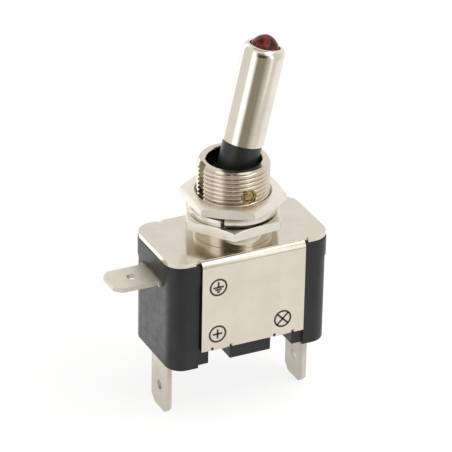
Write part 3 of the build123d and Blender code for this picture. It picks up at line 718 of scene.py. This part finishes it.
def nut_section(edge, bottom, top, hole_radius, slope, slope_below):
    """The (r, z) section of a nut where its side is that far from the axis."""
    flat_radius = nut_across_flats / 2 * nut_face_share
    drop = max(0, (edge - flat_radius) * slope)
    drop_below = max(0, (edge - flat_radius) * slope_below)
    return [
        (hole_radius, bottom + nut_countersink),
        (hole_radius + nut_countersink, bottom),
        (flat_radius, bottom),
        (edge - nut_edge_ease, bottom + drop_below - nut_edge_ease * slope_below),
        (edge, bottom + drop_below + nut_edge_ease),
        (edge, top - drop - nut_edge_ease),
        (edge - nut_edge_ease, top - drop + nut_edge_ease * slope),
        (flat_radius, top),
        (hole_radius + nut_countersink, top),
        (hole_radius, top - nut_countersink),
    ]


def hex_nut(name, node, hole_radius, turn, body, chamfered_below=False):
    """A nut: flats, chamfer cones above and maybe below, eased corners and a countersunk hole."""
    bottom, top = z_span(node)
    apothem = nut_across_flats / 2
    corner_radius = apothem / math.cos(math.radians(30)) - nut_corner_ease
    slope = math.tan(nut_chamfer_angle)
    slope_below = slope if chamfered_below else 0
    # Degrees from one corner to the next, closer together beside the corners
    side_angles = [0, 0.5, 1.2] + [3 * step for step in range(1, 20)] + [58.8, 59.5]
    sections = []
    for side in range(6):
        for side_angle in side_angles:
            edge = min(apothem / math.cos(math.radians(30 - side_angle)), corner_radius)
            section = nut_section(edge, bottom, top, hole_radius, slope, slope_below)
            sections.append(turned(section, math.radians(60 * side + side_angle) + turn))
    rings = list(zip(*sections))
    return ring_mesh(name, rings, body, nut_smooth_angle)


lower_nut = hex_nut("lower_nut", "back_nut", back_nut_hole, back_nut_turn, "switch_body")
dress(lower_nut, nut_metal, "plated_nut", "back_nut")
upper_nut = hex_nut("upper_nut", "front_nut", front_nut_hole, front_nut_turn, "nut_group",
                    chamfered_below=True)
dress(upper_nut, matt_nut_metal, "plated_nut", "front_nut")

# Split lock washer, which sinks anticlockwise from one side of its split to the other
washer_low, washer_high = z_span("lock_washer")
washer_rise = washer_high - washer_low - washer_thickness
washer_edge_ease = 0.12 * MM
washer_steps = 140
washer_section = soften(
    [
        (washer_inner, 0),
        (washer_outer, 0),
        (washer_outer, washer_thickness),
        (washer_inner, washer_thickness),
    ],
    washer_edge_ease,
)
washer_path = []
for step in range(washer_steps + 1):
    share = step / washer_steps
    angle = washer_split_at + washer_split / 2 + (2 * math.pi - washer_split) * share
    washer_path.append((angle, washer_low + washer_rise * (1 - share)))
washer = sweep("split_washer", washer_section, washer_path, "washer_group")
dress(washer, washer_metal, "spring_washer", "lock_washer")

# Lever sleeve, its tip rolled in over the light
sleeve_edge_ease = 0.1 * MM
sleeve_bore = sleeve_radius - sleeve_wall
roll_drop = 0.45 * MM
roll_base = sleeve_shoulder - roll_drop
rim_width = 0.16 * MM
roll_inset = sleeve_radius - led_radius - rim_width
roll_end = 82
light_gap = 0.02 * MM
rim_radius = led_radius + light_gap
rim_depth = 0.5 * MM
rim_ease = 0.12 * MM
sleeve_outline = [
    (sleeve_bore, sleeve_bottom),
    (sleeve_radius - sleeve_edge_ease, sleeve_bottom),
    (sleeve_radius, sleeve_bottom + sleeve_edge_ease),
    (sleeve_radius, roll_base),
]
roll_centre = (sleeve_radius - roll_inset, roll_base)
sleeve_outline += arc(roll_centre, (roll_inset, sleeve_rim - roll_base), 0, roll_end, steps=16)
sleeve_outline += [
    (rim_radius + sleeve_edge_ease, sleeve_rim),
    (rim_radius, sleeve_rim - rim_ease),
    (rim_radius, sleeve_rim - rim_depth),
    (sleeve_bore, sleeve_shoulder - sleeve_wall),
]
sleeve = lathe("sleeve_tube", sleeve_outline, "lever_group", lever_matrix)
dress(sleeve, sleeve_metal, "plated_sleeve", "lever_sleeve")

# Plunger spring: a coil
spring_wire = 0.14 * MM
coil_radius = 1.16 * MM
coil_turns = 4
steps_per_turn = 24
wire_corners = 8
coil_steps = coil_turns * steps_per_turn
coil_rise = spring_top - spring_bottom - 2 * spring_wire
coil_section = []
for index in range(wire_corners):
    around = 2 * math.pi * index / wire_corners
    coil_section.append((coil_radius + spring_wire * math.cos(around), spring_wire * math.sin(around)))
coil_path = []
for step in range(coil_steps + 1):
    height = spring_bottom + spring_wire + coil_rise * step / coil_steps
    coil_path.append((2 * math.pi * step / steps_per_turn, height))
coil = sweep("coil_spring", coil_section, coil_path, "lever_group", lever_matrix)
dress(coil, spring_metal, "spring_wire", "plunger_spring")
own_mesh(coil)

# Light: a red dome, glossy and streaked with darker red
led_material, led_tree, led_shader = new_material("red_lamp")
led_dark = (0.055, 0.001, 0.003)
led_red = (0.27, 0.03, 0.037)
led_shader.inputs["Roughness"].default_value = 0.08
led_shader.inputs["IOR"].default_value = 1.33
led_noise = noise(led_tree, lamp_streaks, detail=1, stretch=(1, 1, 0.3))
led_tree.links.new(between(led_tree, led_noise, led_dark, led_red), led_shader.inputs["Base Color"])
dome_flatness = 0.06
dome_steps = 20
led_outline = [(0, led_bottom), (led_radius, led_bottom), (led_radius, dome_centre)]
for step in range(1, dome_steps):
    angle = math.radians(90) * step / dome_steps
    radius = led_radius * (1 - dome_flatness * math.sin(2 * angle))
    led_outline.append((radius * math.cos(angle), dome_centre + radius * math.sin(angle)))
led_outline.append((0, dome_centre + led_radius))
led = lathe("lamp_dome", led_outline, "lever_group", lever_matrix)
dress(led, led_material, "red_lamp", "led_lamp")

# Generic signs printed on the front flap
ink, ink_tree, ink_shader = new_material("ink")
ink_dark = (0.02, 0.014, 0.01)
ink_pale = (0.09, 0.07, 0.05)
ink_shader.inputs["Roughness"].default_value = 0.5
ink_noise = noise(ink_tree, ink_patches, detail=4)
ink_tree.links.new(between(ink_tree, ink_noise, ink_dark, ink_pale), ink_shader.inputs["Base Color"])
ink_height = 0.012 * MM
stroke_width = 0.34 * MM
sign_radius = 1.6 * MM
sign_corners = 64


def printed_strip(inner, outer, closed):
    """The points and faces of a strip of ink between two rows of (x, z) points on the flap."""
    points = []
    for near, far in zip(inner, outer):
        for x, z in (near, far):
            points += [(x, flap_face - ink_height, z), (x, flap_face, z)]
    faces = []
    for index in range(len(inner) if closed else len(inner) - 1):
        here = 4 * index
        after = (here + 4) % len(points)
        faces += [(here, here + 2, after + 2, after), (here + 1, after + 1, after + 3, here + 3)]
        faces += [(here, after, after + 1, here + 1), (here + 2, here + 3, after + 3, after + 2)]
    if not closed:
        end = len(points) - 4
        faces += [(0, 1, 3, 2), (end, end + 2, end + 3, end + 1)]
    return points, faces


def sign(name, centre, lines):
    """A ring with strokes inside it, as one flat printed piece on the flap."""
    circles = []
    for radius in (sign_radius - stroke_width, sign_radius):
        circles.append([point[:2] for point in level_ring([radius] * sign_corners, 0)])
    strips = [printed_strip(*circles, closed=True)]
    for line in lines:
        start, end = [Vector(point) for point in line]
        along = (end - start).normalized()
        half = Vector((-along.y, along.x)) * stroke_width / 2
        strips.append(printed_strip([start - half, end - half], [start + half, end + half], closed=False))
    points = []
    faces = []
    for strip_points, strip_faces in strips:
        faces += [tuple(len(points) + index for index in face) for face in strip_faces]
        points += [(centre[0] + x, y, centre[1] + z) for x, y, z in strip_points]
    piece = mesh_piece(name, points, faces, "switch_body")
    dress(piece, ink, "black_moulding")


earth_lines = [((0, 1.0 * MM), (0, 0))]
for half_length, level in ((0.95 * MM, 0), (0.6 * MM, -0.42 * MM), (0.28 * MM, -0.84 * MM)):
    earth_lines.append(((-half_length, level), (half_length, level)))
plus_arm = 0.85 * MM
plus_lines = [((0, plus_arm), (0, -plus_arm)), ((-plus_arm, 0), (plus_arm, 0))]
diagonal = (sign_radius - stroke_width / 2) * math.cos(math.radians(45))
lamp_lines = [((-diagonal, -diagonal), (diagonal, diagonal)), ((-diagonal, diagonal), (diagonal, -diagonal))]
earth_place = (-6.44 * MM, -9.15 * MM)
plus_place = (-6.46 * MM, -17.83 * MM)
lamp_place = (5.39 * MM, -17.68 * MM)
sign("sign_earth", earth_place, earth_lines)
sign("sign_plus", plus_place, plus_lines)
sign("sign_lamp", lamp_place, lamp_lines)
